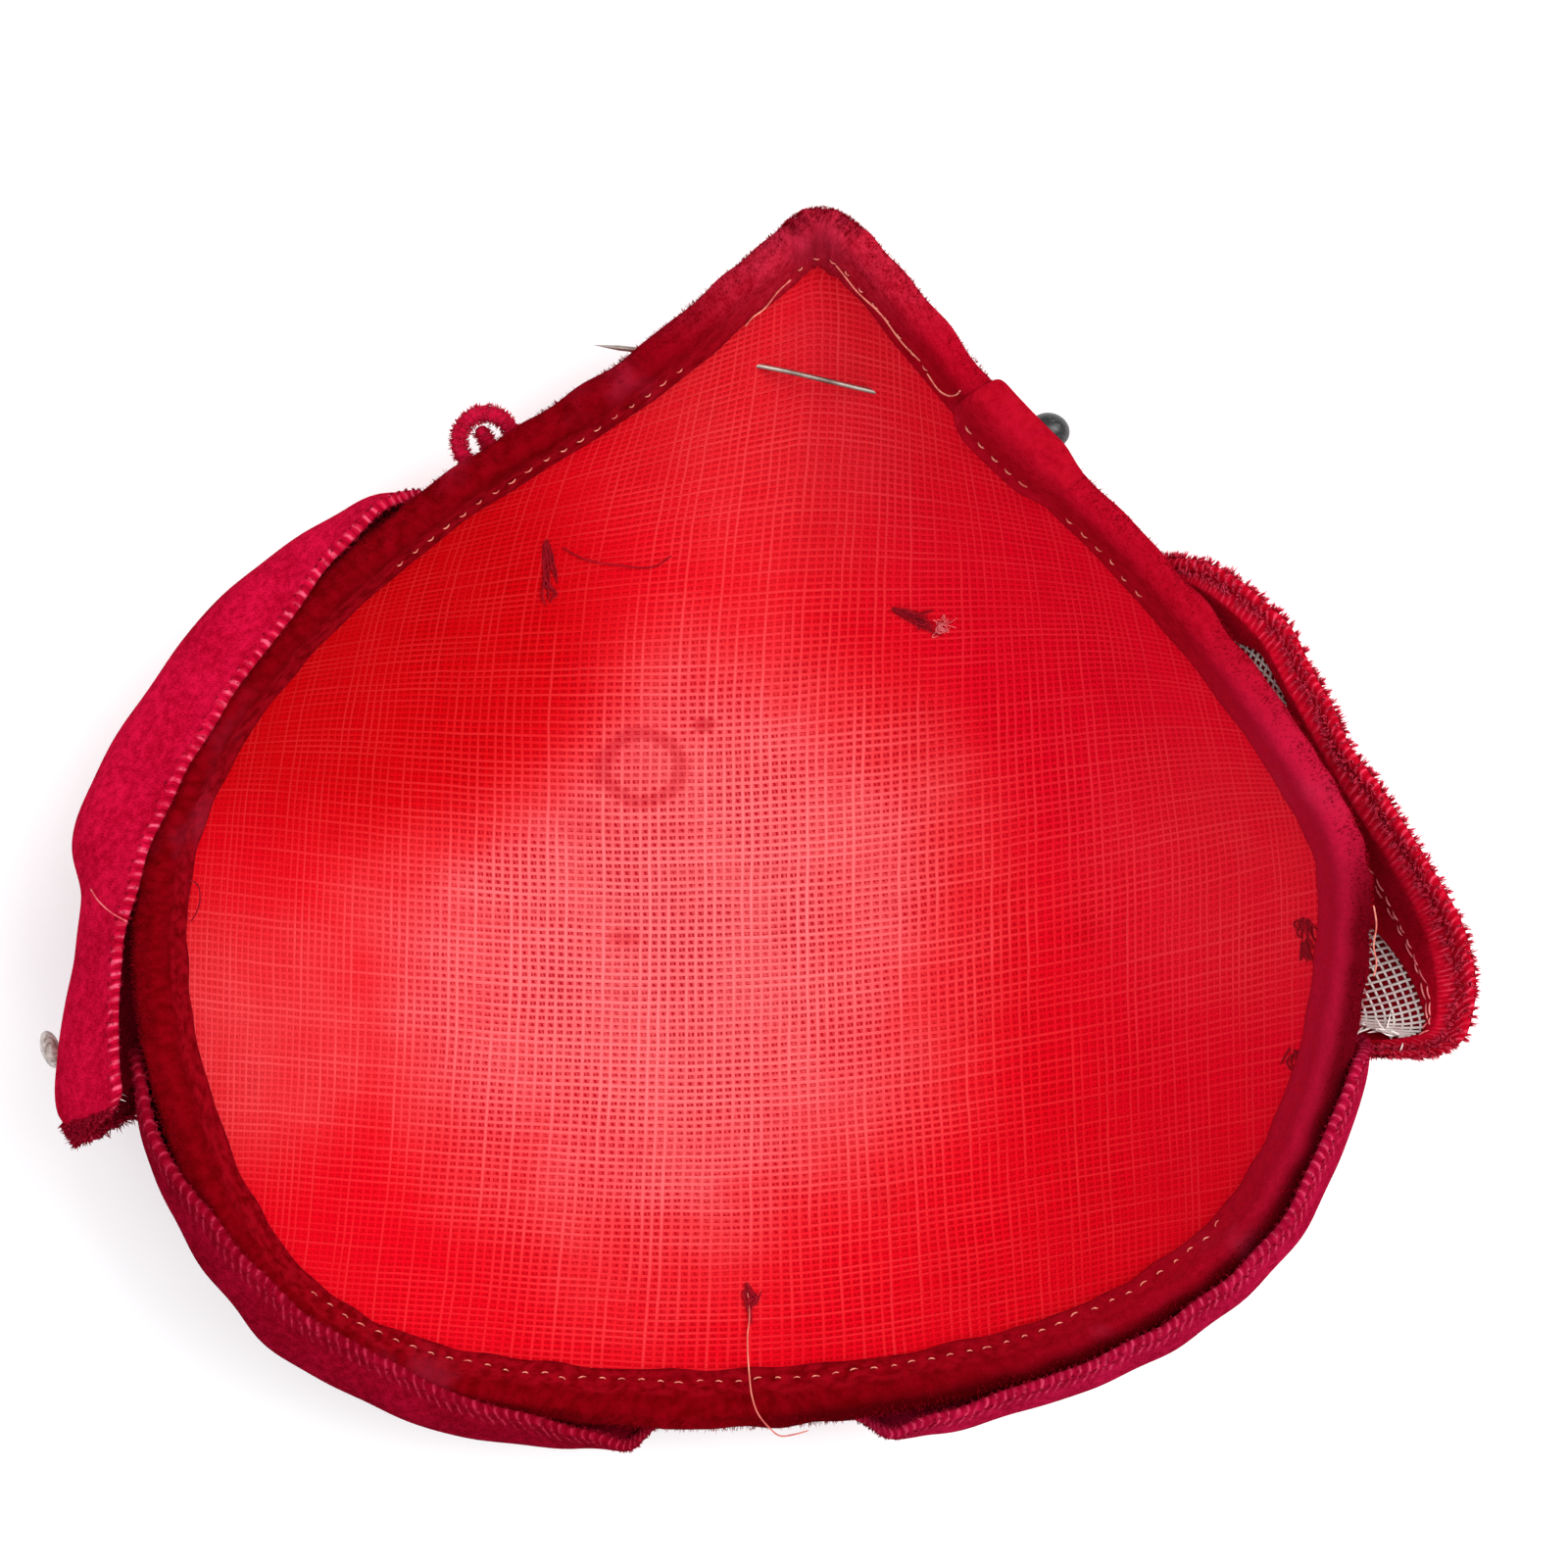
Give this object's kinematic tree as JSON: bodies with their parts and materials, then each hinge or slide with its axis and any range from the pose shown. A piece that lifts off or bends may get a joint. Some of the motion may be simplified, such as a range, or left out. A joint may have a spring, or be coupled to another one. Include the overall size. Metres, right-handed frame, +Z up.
{
  "type": "toque",
  "caption": "Small teardrop toque of red buckram covered with velvet petals, its edge bound in velvet, lying on its crown with two hat pins.",
  "frame": {"origin": "middle of the flat patch on the outside of the crown, on which the hat lies", "axes": "+Z up from the crown into the hollow, +Y towards the blunt point of the edge, +X towards the petal that stands out widest"},
  "size_m": [0.2346, 0.2067, 0.074],
  "materials": {
    "foundation": "open buckram, stiffened weave",
    "crown_cover": "velvet, worn nap",
    "rim_binding": "bias-cut velvet, soft nap",
    "binding_lap": "bias-cut velvet, soft nap",
    "petal_front_left": "ribbed-pile velvet",
    "petal_front_right": "ribbed-pile velvet",
    "petal_back_left": "ribbed-pile velvet",
    "petal_back_right": "ribbed-pile velvet",
    "net_front_left": "open millinery net",
    "net_front_right": "open millinery net",
    "trim_loop": "rouleau of velvet",
    "trim_knot": "knotted end of the rouleau",
    "hatpin_front_shaft": "drawn steel wire",
    "hatpin_front_bead": "polished black bead",
    "hatpin_side_shaft": "drawn steel wire",
    "hatpin_side_head": "pale flattened bead"
  },
  "bodies": {
    "root": {"foundation": "foundation", "crown_cover": "crown_cover", "rim_binding": "rim_binding", "binding_lap": "binding_lap", "petal_front_left": "petal_front_left", "petal_front_right": "petal_front_right", "petal_back_left": "petal_back_left", "petal_back_right": "petal_back_right", "net_front_left": "net_front_left", "net_front_right": "net_front_right", "trim_loop": "trim_loop", "trim_knot": "trim_knot", "hatpin_front_shaft": "hatpin_front_shaft", "hatpin_front_bead": "hatpin_front_bead", "hatpin_side_shaft": "hatpin_side_shaft", "hatpin_side_head": "hatpin_side_head"}
  },
  "joints": []
}
